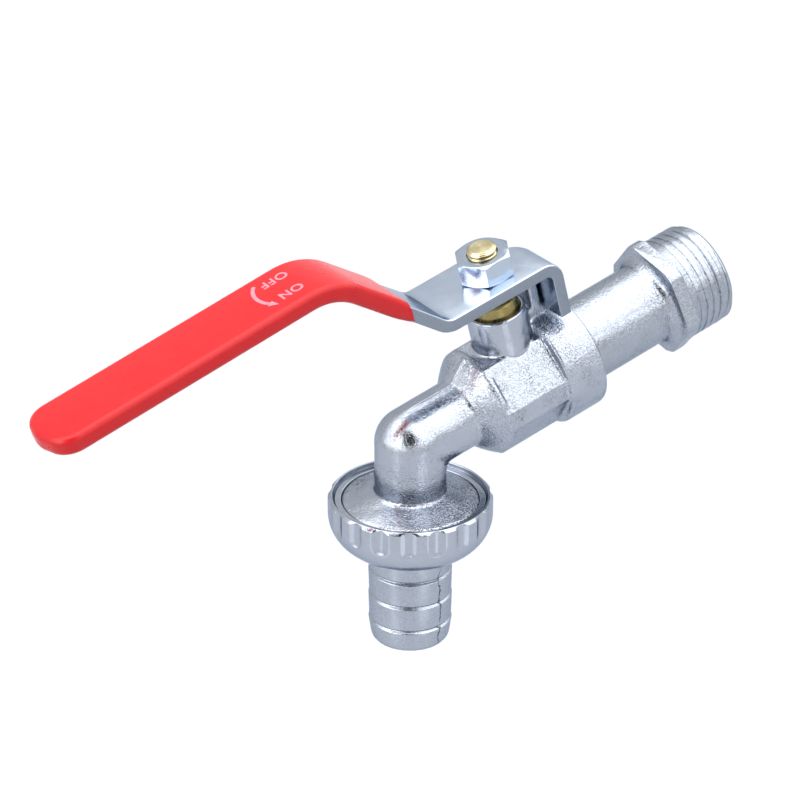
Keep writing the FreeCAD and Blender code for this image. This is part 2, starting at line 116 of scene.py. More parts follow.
def plated_casting(name, grain_mm, grain, ripple, colour="A3A9B4", rough=(0.1, 0.22),
                   smooth_spout=False):
    """Chrome on a cast skin: a bluish grey grainy mirror, with painted shade in hollows and
    corners.
    """
    material, tree, shader, place = new_finish(name)
    fine = add(tree, "ShaderNodeTexNoise", {
        "Vector": place, "Scale": 1 / grain_mm, "Detail": 1.5, "Roughness": 0.6})
    pits = add(tree, "ShaderNodeTexNoise", {"Vector": place, "Scale": 0.4 / grain_mm})
    swell = add(tree, "ShaderNodeTexNoise", {
        "Vector": place, "Scale": 1 / SWELL_MM, "Detail": 1.0})
    plateau = add(tree, "ShaderNodeMapRange", {"Value": fine, "From Min": 0.3, "From Max": 0.52})
    hollow = add(tree, "ShaderNodeMapRange", {"Value": pits, "From Min": 0.3, "From Max": 0.5})
    strength = grain
    if smooth_spout:
        ways = add(tree, "ShaderNodeSeparateXYZ", {0: place}).outputs
        run = add(tree, "ShaderNodeMapRange", {
            "Value": ways[0], "From Min": ELBOW_X + 6, "From Max": STEM_X - 12,
            "To Min": grain * SPOUT_SHARE, "To Max": grain})
        disc = add(tree, "ShaderNodeMapRange", {
            "Value": ways[2], "From Min": DISC_Z[0], "From Max": DISC_Z[1],
            "To Max": grain * DISC_SHARE})
        boss = add(tree, "ShaderNodeVectorMath", {0: place, 1: (STEM_X, 0, 0)},
                   operation="SUBTRACT")
        boss = add(tree, "ShaderNodeVectorMath", {0: boss, 1: (1, 1, 0)}, operation="MULTIPLY")
        boss = add(tree, "ShaderNodeVectorMath", {0: boss}, operation="LENGTH")
        boss = add(tree, "ShaderNodeMapRange", {
            "Value": boss, "From Min": BOSS_RIM[0], "From Max": BOSS_RIM[1], "To Min": BOSS_SHARE})
        strength = add(tree, "ShaderNodeMath", {0: run, 1: disc}, operation="MAXIMUM")
        strength = add(tree, "ShaderNodeMath", {0: strength, 1: boss}, operation="MULTIPLY")
    bump = add(tree, "ShaderNodeBump", {
        "Height": swell, "Strength": ripple, "Distance": SWELL_DEPTH})
    bump = add(tree, "ShaderNodeBump", {
        "Height": hollow, "Strength": strength, "Distance": PIT_DEPTH, "Normal": bump})
    bump = add(tree, "ShaderNodeBump", {
        "Height": plateau, "Strength": strength, "Distance": GRAIN_DEPTH, "Normal": bump})
    cloud = add(tree, "ShaderNodeMapRange", {
        "Value": pits, "From Min": 0.3, "From Max": 0.7, "To Min": rough[0], "To Max": rough[1]})
    shade = add(tree, "ShaderNodeMix", {
        "Factor": pits, "A": linear(colour), "B": linear(CHROME_LIGHT)}, data_type="RGBA")
    # Painted shade: dark specks where the fine grain is low, gathered in patches by the swell
    # noise.
    cluster = add(tree, "ShaderNodeMapRange", {
        "Value": swell, "From Min": 0.48, "From Max": 0.66, "To Max": 0.55})
    cluster = add(tree, "ShaderNodeMath", {0: cluster, 1: strength}, operation="MULTIPLY")
    pit_shade = add(tree, "ShaderNodeMath", {0: 1.0, 1: plateau}, operation="SUBTRACT")
    pit_shade = add(tree, "ShaderNodeMath", {0: pit_shade, 1: cluster},
                 operation="MULTIPLY", use_clamp=True)
    shade = add(tree, "ShaderNodeMix", {
        "Factor": pit_shade, "A": shade, "B": linear(CHROME_PIT_SHADE)}, data_type="RGBA")
    # Painted shade: ambient occlusion darkens the colour in corners and crevices.
    corner = add(tree, "ShaderNodeAmbientOcclusion", {"Distance": 0.0007}, samples=6)
    corner = add(tree, "ShaderNodeMapRange", {
        "Value": corner.outputs["AO"], "From Min": 0.1, "From Max": 0.6})
    shade = add(tree, "ShaderNodeMix", {
        "Factor": corner, "A": linear(CHROME_CORNER_SHADE), "B": shade}, data_type="RGBA")
    lay_on(tree, shader, shade, cloud, bump)
    return material


def copy_in_mm(node):
    """Bmesh copy of a CAD node in mm, its loose triangles merged."""
    work = bmesh.new()
    work.from_mesh(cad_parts[node].data)
    bmesh.ops.scale(work, vec=(1000, 1000, 1000), verts=work.verts)
    bmesh.ops.remove_doubles(work, verts=work.verts, dist=0.0005)
    return work


def new_piece(name, work):
    """Object from a bmesh in mm, which is freed."""
    mesh = bpy.data.meshes.new(name)
    work.to_mesh(mesh)
    work.free()
    piece = bpy.data.objects.new(name, mesh)
    bpy.context.scene.collection.objects.link(piece)
    return piece


def work_in(piece):
    """Makes the result of the piece's modifiers its plain mesh."""
    depsgraph = bpy.context.evaluated_depsgraph_get()
    mesh = bpy.data.meshes.new_from_object(piece.evaluated_get(depsgraph), depsgraph=depsgraph)
    piece.modifiers.clear()
    piece.data = mesh


def soften(piece, voxel, rounds):
    """Remeshes a solid in mm and relaxes it, which rounds its edges as tumbling does."""
    remesh = piece.modifiers.new("remesh", "REMESH")
    remesh.mode = "VOXEL"
    remesh.voxel_size = voxel
    relax = piece.modifiers.new("relax", "SMOOTH")
    relax.factor = 0.5
    relax.iterations = rounds
    work_in(piece)


def finish_piece(piece, body, material, stands_for=(), crease=35):
    """Scales a piece from mm to metres, gives it its finish and body, and hides the CAD nodes it
    stands for.
    """
    piece.data.transform(Matrix.Scale(MM, 4))
    piece.data.materials.clear()
    piece.data.materials.append(material)
    for face in piece.data.polygons:
        face.use_smooth = True
        face.material_index = 0
    piece.data.set_sharp_from_angle(angle=math.radians(crease))
    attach(piece, body)
    if stands_for:
        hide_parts(*stands_for)


# The knuckle's inside corner lies down from the elbow and towards the inlet. Its fillet reaches
# 3.5 mm to either side.
CORNER_WAY = Vector((0.61, 0, -0.79))
CORNER_ACROSS = Vector((0.79, 0, 0.61))
CORNER_SPAN = (4, 10.5)
FILLET_REACH = 3.5
# Heights and half widths of the mould ridge along the top of the spout and of the cone.
SPOUT_RIDGE, SPOUT_RIDGE_HALF = 0.13, 0.35
CONE_RIDGE, CONE_RIDGE_HALF = 0.18, 0.4
CONE_X = (STEM_X - 13, STEM_X - 8.5)

casting = new_piece("valve_casting", copy_in_mm("valve_body"))
soften(casting, CAST_VOXEL, 4)
elbow_corner = casting.vertex_groups.new(name="elbow_corner")
for vertex in casting.data.vertices:
    from_elbow = vertex.co - Vector((ELBOW_X, 0, 0))
    near = 1 - abs(from_elbow.dot(CORNER_ACROSS)) / FILLET_REACH
    if near > 0 and CORNER_SPAN[0] < from_elbow.dot(CORNER_WAY) < CORNER_SPAN[1]:
        elbow_corner.add([vertex.index], near, "REPLACE")
fillet = casting.modifiers.new("fillet", "SMOOTH")
fillet.vertex_group = "elbow_corner"
fillet.factor = 0.5
fillet.iterations = 60
work_in(casting)
for vertex in casting.data.vertices:
    place = FROM_OUTLET @ vertex.co
    reach = math.hypot(place.x, place.y)
    if reach > OUTLET_ROOT_R and place.z < -OUTLET_THREAD_H[0] - 0.25:
        place.xy *= OUTLET_ROOT_R / reach
        vertex.co = TO_OUTLET @ place
    elif vertex.co.z > 4 and CONE_X[0] > vertex.co.x > ELBOW_X:
        vertex.co.z += SPOUT_RIDGE * math.exp(-(vertex.co.y / SPOUT_RIDGE_HALF) ** 2)
    elif vertex.co.z > 6 and CONE_X[1] > vertex.co.x > CONE_X[0]:
        ridge = CONE_RIDGE * math.exp(-(vertex.co.y / CONE_RIDGE_HALF) ** 2)
        vertex.co.x -= ridge * 0.7
        vertex.co.z += ridge * 0.7
# Chromed brass casting: bright on its flats, with painted shade in its pits, which gather in
# patches, and in its corners. The real grain, near 0.1 mm, is too fine to show and is drawn at 0.3
# mm.
cast_chrome = plated_casting("chrome_plated_casting", 0.3, 1.0, 0.4, smooth_spout=True)
finish_piece(casting, "tap", cast_chrome, ["valve_body"], crease=60)


# Outlet thread. A G 3/4 male thread cut on the outlet disc, which the union nut runs on. It is
# turned after casting, one ridge on a helix that fades out at both ends.

PIPE_PITCH = 1.814
PIPE_DEPTH = 1.162
THREAD_STEPS = 96
THREAD_BASE = 0.94
FADE_TURNS = 0.35
OUTLET_CLEAR = 1.0
OUTLET_FOOT = 0.6


def new_tree(name, result, **sockets):
    """Empty Geometry Nodes tree with one result. Inputs are given as Half_width="Float"."""
    tree = bpy.data.node_groups.new(name, "GeometryNodeTree")
    for label, kind in sockets.items():
        tree.interface.new_socket(label.replace("_", " "), in_out="INPUT",
                                  socket_type="NodeSocket" + kind)
    tree.interface.new_socket(result, in_out="OUTPUT", socket_type="NodeSocketGeometry")
    return tree, add(tree, "NodeGroupInput").outputs


def thread_maker():
    """Geometry Nodes tree: a ridge wound about Z from the origin upwards, faded at its ends."""
    tree, given = new_tree("wound_thread", "Thread", Root_radius="Float", Depth="Float",
                           Pitch="Float", Crest="Float", Turns="Float", Steps="Int",
                           Finish="Material")
    height = add(tree, "ShaderNodeMath", {0: given["Pitch"], 1: given["Turns"]},
                 operation="MULTIPLY")
    helix = add(tree, "GeometryNodeCurveSpiral", {
        "Resolution": given["Steps"], "Rotations": given["Turns"],
        "Start Radius": given["Root radius"], "End Radius": given["Root radius"],
        "Height": height})
    upright = add(tree, "GeometryNodeSetCurveNormal", {"Curve": helix}, mode="Z_UP")
    along = add(tree, "GeometryNodeSplineParameter")
    back = add(tree, "ShaderNodeMath", {0: 1.0, 1: along}, operation="SUBTRACT")
    nearest = add(tree, "ShaderNodeMath", {0: along, 1: back}, operation="MINIMUM")
    turns_in = add(tree, "ShaderNodeMath", {0: nearest, 1: given["Turns"]}, operation="MULTIPLY")
    fade = add(tree, "ShaderNodeMapRange", {
        "Value": turns_in, "From Max": FADE_TURNS, "To Min": 0.15})
    base = add(tree, "ShaderNodeMath", {0: given["Pitch"], 1: THREAD_BASE}, operation="MULTIPLY")
    crest = add(tree, "ShaderNodeMath", {0: given["Pitch"], 1: given["Crest"]},
                operation="MULTIPLY")
    section = add(tree, "GeometryNodeCurvePrimitiveQuadrilateral", {
        "Height": given["Depth"], "Bottom Width": base,
        "Top Width": crest, "Offset": 0.0}, mode="TRAPEZOID")
    half = add(tree, "ShaderNodeMath", {0: given["Depth"], 1: -0.5}, operation="MULTIPLY")
    out = add(tree, "ShaderNodeCombineXYZ", {"X": half})
    stood = add(tree, "GeometryNodeTransform", {
        "Geometry": section, "Translation": out, "Rotation": (0, 0, math.pi / 2)})
    swept = add(tree, "GeometryNodeCurveToMesh", {
        "Curve": upright, "Profile Curve": stood, "Scale": fade, "Fill Caps": True})
    real = add(tree, "GeometryNodeRealizeInstances", {"Geometry": swept})
    dressed = add(tree, "GeometryNodeSetMaterial", {"Geometry": real, "Material": given["Finish"]})
    add(tree, "NodeGroupOutput", {"Thread": dressed})
    return tree


def run_tree(piece, tree, values):
    """Gives a piece a Geometry Nodes tree with its named inputs and works it in."""
    made_by = piece.modifiers.new(tree.name, "NODES")
    made_by.node_group = tree
    for item in tree.interface.items_tree:
        if item.in_out == "INPUT" and item.name in values:
            made_by[item.identifier] = values[item.name]
    work_in(piece)


def wound_thread(name, root_r, depth, pitch, turns, material, place, crest=0.18):
    """Thread ridge in mm, wound from the origin along Z and then moved by the matrix place."""
    piece = new_piece(name, bmesh.new())
    run_tree(piece, thread_tree, {
        "Root radius": root_r, "Depth": depth, "Pitch": pitch, "Crest": crest,
        "Turns": turns, "Steps": THREAD_STEPS, "Finish": material})
    work = bmesh.new()
    work.from_mesh(piece.data)
    bmesh.ops.recalc_face_normals(work, faces=work.faces)
    work.to_mesh(piece.data)
    work.free()
    piece.data.transform(place)
    return piece


thread_tree = thread_maker()
# Chromed turning: the same chrome, half as grainy, so that the ridges keep clean lines of light.
turned_chrome = plated_casting("chrome_plated_turning", 0.3, 0.5, 0.12, "8F959E")
outlet_turns = (OUTLET_THREAD_H[1] - OUTLET_THREAD_H[0] - OUTLET_CLEAR) / PIPE_PITCH
outlet_thread = wound_thread(
    "outlet_thread", OUTLET_ROOT_R - 0.05, PIPE_DEPTH, PIPE_PITCH, outlet_turns, turned_chrome,
    TO_OUTLET @ Matrix.Translation((0, 0, -OUTLET_THREAD_H[1] + OUTLET_FOOT)))
finish_piece(outlet_thread, "tap", turned_chrome)


# Inlet tail. A forged and turned tail with a round neck and a hexagon for the wrench, screwed
# into the collar. It carries the same grainy plating as the body.

INLET_DEPTH = 0.6
INLET_ROOT_R = 20.955 / 2 - INLET_DEPTH
INLET_TURNS = 5.4
INLET_START_X = -0.35
INLET_CHAMFER_X = 9.5
INLET_CHAMFER = 0.4
INLET_EDGE = 0.28
BREAK_FROM = 28


def bevelled(name, work, width):
    """Piece in mm whose edges are broken by a small bevel."""
    bmesh.ops.dissolve_limit(work, angle_limit=math.radians(0.5), verts=work.verts,
                             edges=work.edges)
    piece = new_piece(name, work)
    edge = piece.modifiers.new("edge", "BEVEL")
    edge.width = width
    edge.segments = 2
    edge.limit_method = "ANGLE"
    edge.angle_limit = math.radians(BREAK_FROM)
    work_in(piece)
    return piece


forging = copy_in_mm("inlet_tail")
for vertex in forging.verts:
    reach = math.hypot(vertex.co.y, vertex.co.z)
    if vertex.co.x > 0.12 and reach > INLET_ROOT_R:
        cut = INLET_CHAMFER if vertex.co.x > INLET_CHAMFER_X else 0.0
        keep = (INLET_ROOT_R - cut) / reach
        vertex.co.y *= keep
        vertex.co.z *= keep
inlet = bevelled("inlet_tail_forging", forging, INLET_EDGE)
# Chromed forging: a slightly flatter skin than the casting's, its grain drawn as coarse.
inlet_chrome = plated_casting("chrome_plated_forging", 0.3, 0.75, 0.25, "959BA5")
finish_piece(inlet, "tap", inlet_chrome, ["inlet_tail"], crease=60)

inlet_thread = wound_thread(
    "inlet_thread", INLET_ROOT_R - 0.05, INLET_DEPTH, PIPE_PITCH, INLET_TURNS, turned_chrome,
    Matrix.Translation((INLET_START_X, 0, 0)) @ Matrix.Rotation(math.pi / 2, 4, "Y"), crest=0.45)
finish_piece(inlet_thread, "tap", turned_chrome)


# Inner pieces. Ball, seats, rings and packing sit inside the body, and none shows from
# outside. The ball is polished and plated, the rings are pressed white plastic or black rubber.


def plain_moulding(name, colour, rough, grain_mm, depth):
    """Moulded plastic or rubber with a faint matt grain."""
    material, tree, shader, place = new_finish(name)
    grain = add(tree, "ShaderNodeTexNoise", {"Vector": place, "Scale": 1 / grain_mm})
    bump = add(tree, "ShaderNodeBump", {"Height": grain, "Strength": 0.4, "Distance": depth})
    patch = add(tree, "ShaderNodeMapRange", {
        "Value": grain, "To Min": rough - 0.08, "To Max": rough + 0.08})
    shader.inputs["Base Color"].default_value = linear(colour)
    lay_on(tree, shader, rough=patch, bump=bump, metal=False)
    return material


def dress(node, material):
    """Gives a CAD node that stays in view its finish."""
    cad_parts[node].data.materials.clear()
    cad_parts[node].data.materials.append(material)


# Polished chrome ball: a clean mirror.
dress("ball", plated_casting("polished_chrome_ball", 0.5, 0.03, 0.0, rough=(0.04, 0.08)))
# Pressed PTFE: matt and nearly white.
white_ptfe = plain_moulding("pressed_white_ptfe", "E9E8E2", 0.45, 0.6, 0.00002)
for node in ("front_seat", "rear_seat", "thrust_washer", "stem_packing"):
    dress(node, white_ptfe)
# Moulded nitrile rubber: soft black, hardly any gloss.
black_rubber = plain_moulding("black_nitrile_rubber", "17181A", 0.6, 0.3, 0.00004)
for node in ("joint_ring", "stem_o_ring", "hose_washer"):
    dress(node, black_rubber)


# Gland nut. A brass plug turned from bar and screwed into the boss over the packing. It shows
# between boss and lever, with the fine rings that the turning tool leaves.

BRASS_RING_MM = 0.28
BRASS_RING_DEPTH = 0.00003


def turned_brass(name, dull, bright):
    """Bare brass with turning rings about the stem axis and soft stains."""
    material, tree, shader, place = new_finish(name)
    centred = add(tree, "ShaderNodeMapping", {"Vector": place, "Location": (-STEM_X, 0, 0)})
    rings = add(tree, "ShaderNodeTexWave", {
        "Vector": centred, "Scale": 1 / (BRASS_RING_MM * math.pi), "Distortion": 0.6,
        "Detail": 2.0, "Detail Scale": 2.0}, wave_type="RINGS", rings_direction="Z")
    stain = add(tree, "ShaderNodeTexNoise", {"Vector": place, "Scale": 1 / 1.6, "Detail": 3.0})
    shade = add(tree, "ShaderNodeMix", {
        "Factor": stain, "A": linear(dull), "B": linear(bright)}, data_type="RGBA")
    patch = add(tree, "ShaderNodeMapRange", {"Value": stain, "To Min": 0.16, "To Max": 0.36})
    bump = add(tree, "ShaderNodeBump", {
        "Height": rings.outputs["Fac"], "Strength": 0.5, "Distance": BRASS_RING_DEPTH})
    lay_on(tree, shader, shade, patch, bump)
    return material


# Turned brass, darkened to a brownish yellow as painted shade from the lever above it, with soft,
# lighter stains. Its rings, 0.1 mm apart in life, are drawn 0.28 mm apart.
dress("gland_nut", turned_brass("brass_gland_in_painted_shade", "76693F", "A89A66"))


# Stem. A brass spindle turned from bar, flanged inside the body and threaded M6 above the
# lever. Its faced end stands a little proud of the nut and has a small chamfer.

STEM_TOP = 31.5
M6_ROOT_R = 2.45
M6_DEPTH = 0.55
M6_PITCH = 1.0
STEM_THREAD_Z = 25.6
STEM_TURNS = 4.8


def lathe(profile, steps):
    """Solid of revolution about Z from a closed (h, r) profile, h downward, in mm."""
    work = bmesh.new()
    rings = []
    for h, r in profile:
        ring = []
        for k in range(steps):
            a = 2 * math.pi * k / steps
            ring.append(work.verts.new((r * math.cos(a), r * math.sin(a), -h)))
        rings.append(ring)
    for ring, after in zip(rings, rings[1:] + rings[:1]):
        for k in range(steps):
            j = (k + 1) % steps
            work.faces.new((ring[k], ring[j], after[j], after[k]))
    bmesh.ops.recalc_face_normals(work, faces=work.faces)
    return work


def rounded(points, steps=4):
    """Closed profile from (h, r, radius) corners, each rounded by its radius."""
    profile = []
    count = len(points)
    for i in range(count):
        before, here, after = (Vector(points[(i + k) % count][:2]) for k in (-1, 0, 1))
        radius = points[i][2] if len(points[i]) > 2 else 0.0
        if not radius:
            profile.append(tuple(here))
            continue
        u, w = (before - here).normalized(), (after - here).normalized()
        half = u.angle(w) / 2
        cut = radius / math.tan(half)
        centre = here + (u + w).normalized() * radius / math.sin(half)
        a, b = here + u * cut - centre, here + w * cut - centre
        for k in range(steps + 1):
            part = a.lerp(b, k / steps).normalized() * radius
            profile.append(tuple(centre + part))
    return profile


# Clean turned brass: pale gold that lights up on the faced end. Its rings are drawn as coarse.
brass = turned_brass("turned_brass_stem", "B9A97C", "D8CFAE")
spindle = copy_in_mm("stem")
for vertex in spindle.verts:
    reach = math.hypot(vertex.co.x - STEM_X, vertex.co.y)
    if vertex.co.z > STEM_THREAD_Z - 0.3 and reach > M6_ROOT_R:
        vertex.co.x = STEM_X + (vertex.co.x - STEM_X) * M6_ROOT_R / reach
        vertex.co.y *= M6_ROOT_R / reach
    vertex.co.z = min(vertex.co.z, STEM_TOP - 0.1)
spindle = new_piece("stem_spindle", spindle)
finish_piece(spindle, "handle", brass, ["stem"])
stem_thread = wound_thread(
    "stem_thread", M6_ROOT_R - 0.03, M6_DEPTH, M6_PITCH, STEM_TURNS, brass,
    Matrix.Translation((STEM_X, 0, STEM_THREAD_Z)))
finish_piece(stem_thread, "handle", brass)
tip = new_piece("stem_tip", lathe(rounded([
    (-STEM_TOP, 0.02), (-STEM_TOP, 2.3, 0.1), (0.5 - STEM_TOP, 2.9, 0.12),
    (0.7 - STEM_TOP, 2.9, 0.08), (0.95 - STEM_TOP, 2.5, 0.1), (2 - STEM_TOP, 2.48),
    (2 - STEM_TOP, 0.02)]), 64))
tip.data.transform(Matrix.Translation((STEM_X, 0, 0)))
finish_piece(tip, "handle", brass)


# Lever. One blank of 2.5 mm steel, punched flat, cranked up twice and turned down at its rear
# as a stop tab, then zinc plated. Punching rolls its upper edges and leaves a rough shear band.

SHEET = 2.5
PLATE_MID = 24.25
PATH_LINES = (((10.65, 13.2), (0, 1)), ((0, PLATE_MID), (-1, 0)),
              ((-20.25, 30.0), (-math.sqrt(0.5), math.sqrt(0.5))),
              ((-65.0, 43.15), (-math.cos(0.0323), -math.sin(0.0323))))
PATH_BENDS = ((2.6, 1), (4.2, -1), (13.0, 1))
TIP_X = -94.6
HEAD_HALF = 7.6
GRIP_HALF = 6.5
BEND_STEP = 0.9
EDGE_ROLL_TOP, EDGE_ROLL_BOTTOM = 0.32, 0.15
PUNCH_R = 3.05


def meet(first, second):
    """Point where two lines cross, each given as a point and a direction."""
    (ax, az), (ux, uz) = first
    (bx, bz), (vx, vz) = second
    s = ((bx - ax) * -vz + (bz - az) * vx) / (uz * vx - ux * vz)
    return Vector((ax + ux * s, az + uz * s))


def lever_path():
    """Middle line of the bent sheet as (start length, straight or arc, its data) runs."""
    runs = []
    here = Vector(PATH_LINES[0][0])
    done = 0.0
    for i, (radius, side) in enumerate(PATH_BENDS):
        u, w = Vector(PATH_LINES[i][1]), Vector(PATH_LINES[i + 1][1])
        corner = meet(PATH_LINES[i], PATH_LINES[i + 1])
        turn = u.angle(w)
        start = corner - u * radius * math.tan(turn / 2)
        runs.append((done, "straight", here, u))
        done += (start - here).length
        across = Vector((u.y, -u.x)) * -side
        runs.append((done, "arc", start + across * radius, (-across, u, radius)))
        done += turn * radius
        here = corner + w * radius * math.tan(turn / 2)
    runs.append((done, "straight", here, Vector(PATH_LINES[-1][1])))
    return runs


RUNS = lever_path()


def on_path(s):
    """Point and direction of the middle line at length s from the tab's foot."""
    for start, kind, point, data in reversed(RUNS):
        if s >= start or start == 0.0:
            break
    if kind == "straight":
        return point + data * (s - start), data
    out, u, radius = data
    a = (s - start) / radius
    return (point + (out * math.cos(a) + u * math.sin(a)) * radius,
            u * math.cos(a) - out * math.sin(a))


def length_at(x):
    """Length along the middle line where it has come to x, counted from the stem."""
    low, high = 0.0, 140.0
    for _ in range(50):
        mid = (low + high) / 2
        if on_path(mid)[0].x > x:
            low = mid
        else:
            high = mid
    return low


def bend(work):
    """Bends a flat blank, x along the path, y across and z through it, onto the path."""
    for vertex in work.verts:
        point, direction = on_path(vertex.co.x)
        outer = Vector((direction.y, -direction.x))
        point = point + outer * vertex.co.z
        vertex.co = (STEM_X + point.x, vertex.co.y, point.y)


def arc(cx, cy, radius, start, end, steps):
    """Points on an arc, angles in degrees."""
    angles = [math.radians(start + (end - start) * i / steps) for i in range(steps + 1)]
    return [(cx + radius * math.cos(a), cy + radius * math.sin(a)) for a in angles]


def inset(points, distance):
    """Closed outline moved inwards, counter-clockwise."""
    moved = []
    count = len(points)
    for i in range(count):
        before, here, after = (Vector(points[(i + k) % count]) for k in (-1, 0, 1))
        u, w = (here - before).normalized(), (after - here).normalized()
        normal = Vector((-u.y - w.y, u.x + w.x)).normalized()
        moved.append(here + normal * distance / max(0.3, normal.dot(Vector((-u.y, u.x)))))
    return moved


def blank(outline, half, roll_top, roll_bottom, steps):
    """Flat solid of an outline, half thick each way, its upper and lower edges rolled."""
    work = bmesh.new()
    levels = []
    for i in range(steps + 1):
        a = math.pi / 2 * i / steps
        levels.append((roll_bottom * (1 - math.sin(a)), -half + roll_bottom * (1 - math.cos(a))))
    for i in range(steps + 1):
        a = math.pi / 2 * i / steps
        levels.append((roll_top * (1 - math.cos(a)), half - roll_top * (1 - math.sin(a))))
    rings = []
    for distance, z in levels:
        rings.append([work.verts.new((p[0], p[1], z)) for p in inset(outline, distance)])
    count = len(outline)
    for low, high in zip(rings, rings[1:]):
        for i in range(count):
            j = (i + 1) % count
            work.faces.new((low[i], low[j], high[j], high[i]))
    work.faces.new(rings[-1])
    work.faces.new(list(reversed(rings[0])))
    return work


def score(work, start, end, step):
    """Cuts a flat blank across at even steps, so that it can bend there."""
    count = int((end - start) / step) + 1
    for i in range(count + 1):
        s = start + (end - start) * i / count
        bmesh.ops.bisect_plane(work, geom=work.verts[:] + work.edges[:] + work.faces[:],
                               dist=0.00001, plane_co=(s, 0, 0), plane_no=(1, 0, 0))


def score_bends(work):
    """Cuts a blank across wherever the path bends."""
    for (start, kind, _, _), (end, _, _, _) in zip(RUNS, RUNS[1:]):
        if kind == "arc":
            score(work, start, end, BEND_STEP)


def lever_outline(grow):
    """Outline of the flat blank, x as length along the path, counter-clockwise."""
    end = length_at(TIP_X) + grow
    half = GRIP_HALF + grow
    radius = 4.2 + grow
    tip = arc(end - 0.5 - radius, radius - half, radius, -90, -8, 10)
    tip += [(end - 0.1, -1.2), (end, 0), (end - 0.1, 1.2)]
    tip += arc(end - 0.5 - radius, half - radius, radius, 8, 90, 10)
    head = HEAD_HALF + grow
    corner = [(length_at(x), y) for x, y in (
        (0.0, 7.6), (1.9, 7.35), (3.8, 6.8), (5.6, 5.85), (7.2, 4.6), (8.5, 3.3))]
    return ([(0.0, 2.2), (0.0, -head), (length_at(-13), -head), (length_at(-24), -half)]
            + tip + [(length_at(-24), half), (length_at(-13), head)] + corner
            + [(length_at(9.6), 2.2)])


def zinc_sheet():
    """Bright zinc on rolled steel: pale blue grey, satin, with a rough, darker band on sheared
    edges, partly painted shade.
    """
    material, tree, shader, place = new_finish("bright_zinc_on_sheet_steel")
    facing = add(tree, "ShaderNodeNewGeometry").outputs["Normal"]
    side = add(tree, "ShaderNodeSeparateXYZ", {0: facing}).outputs[1]
    side = add(tree, "ShaderNodeMath", {0: side}, operation="ABSOLUTE")
    sheared = add(tree, "ShaderNodeMapRange", {"Value": side, "From Min": 0.75, "From Max": 0.97})
    stretched = add(tree, "ShaderNodeVectorMath", {0: place, 1: (6.0, 1.0, 1.2)},
                    operation="MULTIPLY")
    tears = add(tree, "ShaderNodeTexNoise", {
        "Vector": stretched, "Scale": 1.6, "Detail": 3.0, "Roughness": 0.6})
    cloud = add(tree, "ShaderNodeTexNoise", {"Vector": place, "Scale": 1 / 2.2, "Detail": 3.0})
    grain = add(tree, "ShaderNodeTexNoise", {"Vector": place, "Scale": 1 / 0.3})
    rolled = add(tree, "ShaderNodeMapRange", {
        "Value": cloud, "From Min": 0.3, "From Max": 0.7, "To Min": 0.14, "To Max": 0.22})
    torn = add(tree, "ShaderNodeMapRange", {"Value": tears, "To Min": 0.3, "To Max": 0.55})
    rough = add(tree, "ShaderNodeMix", {0: sheared, 2: rolled, 3: torn}, data_type="FLOAT")
    bump = add(tree, "ShaderNodeBump", {"Height": grain, "Strength": 0.12, "Distance": 0.00006})
    edge = add(tree, "ShaderNodeMath", {0: sheared, 1: 0.6}, operation="MULTIPLY")
    bump = add(tree, "ShaderNodeBump", {
        "Height": tears, "Strength": edge, "Distance": 0.0003, "Normal": bump})
    shade = add(tree, "ShaderNodeMix", {
        "Factor": cloud, "A": linear("BAC6D6"), "B": linear("C3CEDD")}, data_type="RGBA")
    # The torn grey is darker than the flats partly as painted shade on the sideways faces.
    torn_grey_and_painted_shade = add(tree, "ShaderNodeMix", {
        "Factor": tears, "A": linear("757D89"), "B": linear("9EA7B3")}, data_type="RGBA")
    shade = add(tree, "ShaderNodeMix", {
        "Factor": sheared, "A": shade, "B": torn_grey_and_painted_shade}, data_type="RGBA")
    lay_on(tree, shader, shade, rough, bump)
    return material


# The zinc gives the flats a cool satin mirror, and the sheared sides a duller, torn grey, partly
# painted shade. Its crystals are too fine to show, and the faint grain is drawn at 0.3 mm.
lever_work = blank(lever_outline(0.0), SHEET / 2, EDGE_ROLL_TOP, EDGE_ROLL_BOTTOM, 4)
score_bends(lever_work)
bend(lever_work)
bmesh.ops.triangulate(lever_work, faces=[f for f in lever_work.faces if len(f.verts) > 4])
bmesh.ops.recalc_face_normals(lever_work, faces=lever_work.faces)
lever = new_piece("lever_sheet", lever_work)
punch_work = bmesh.new()
bmesh.ops.create_cone(punch_work, cap_ends=True, segments=48, radius1=PUNCH_R, radius2=PUNCH_R,
                      depth=8, matrix=Matrix.Translation((STEM_X, 0, PLATE_MID)))
punch = new_piece("punch", punch_work)
hole = lever.modifiers.new("stem_hole", "BOOLEAN")
hole.object = punch
hole.solver = "EXACT"
work_in(lever)
bpy.data.objects.remove(punch)
finish_piece(lever, "handle", zinc_sheet(), ["lever"], crease=40)


# Grip sleeve. The hot grip is dipped upright in red vinyl, which sets to a glossy skin about
# 0.6 mm thick. It thins out towards the dip line, which is level when the grip stands upright.

SLEEVE_T = 0.65
SLEEVE_ROLL = 1.25
SLEEVE_FIT = 0.03
SLEEVE_MOUTH_X = -21.0
MOUTH_TAPER = 5.0


def dipped_vinyl():
    """Glossy red plastisol: a saturated skin with a slight orange peel."""
    material, tree, shader, place = new_finish("red_dipped_vinyl")
    peel = add(tree, "ShaderNodeTexNoise", {"Vector": place, "Scale": 1 / 2.4})
    bump = add(tree, "ShaderNodeBump", {"Height": peel, "Strength": 0.15, "Distance": 0.0003})
    shade = add(tree, "ShaderNodeMix", {
        "Factor": peel, "A": linear("AD1318"), "B": linear("B5181D")}, data_type="RGBA")
    patch = add(tree, "ShaderNodeMapRange", {"Value": peel, "To Min": 0.24, "To Max": 0.34})
    lay_on(tree, shader, shade, patch, bump, metal=False)
    shader.inputs["IOR"].default_value = 1.52
    shader.inputs["Specular IOR Level"].default_value = 0.26
    return material


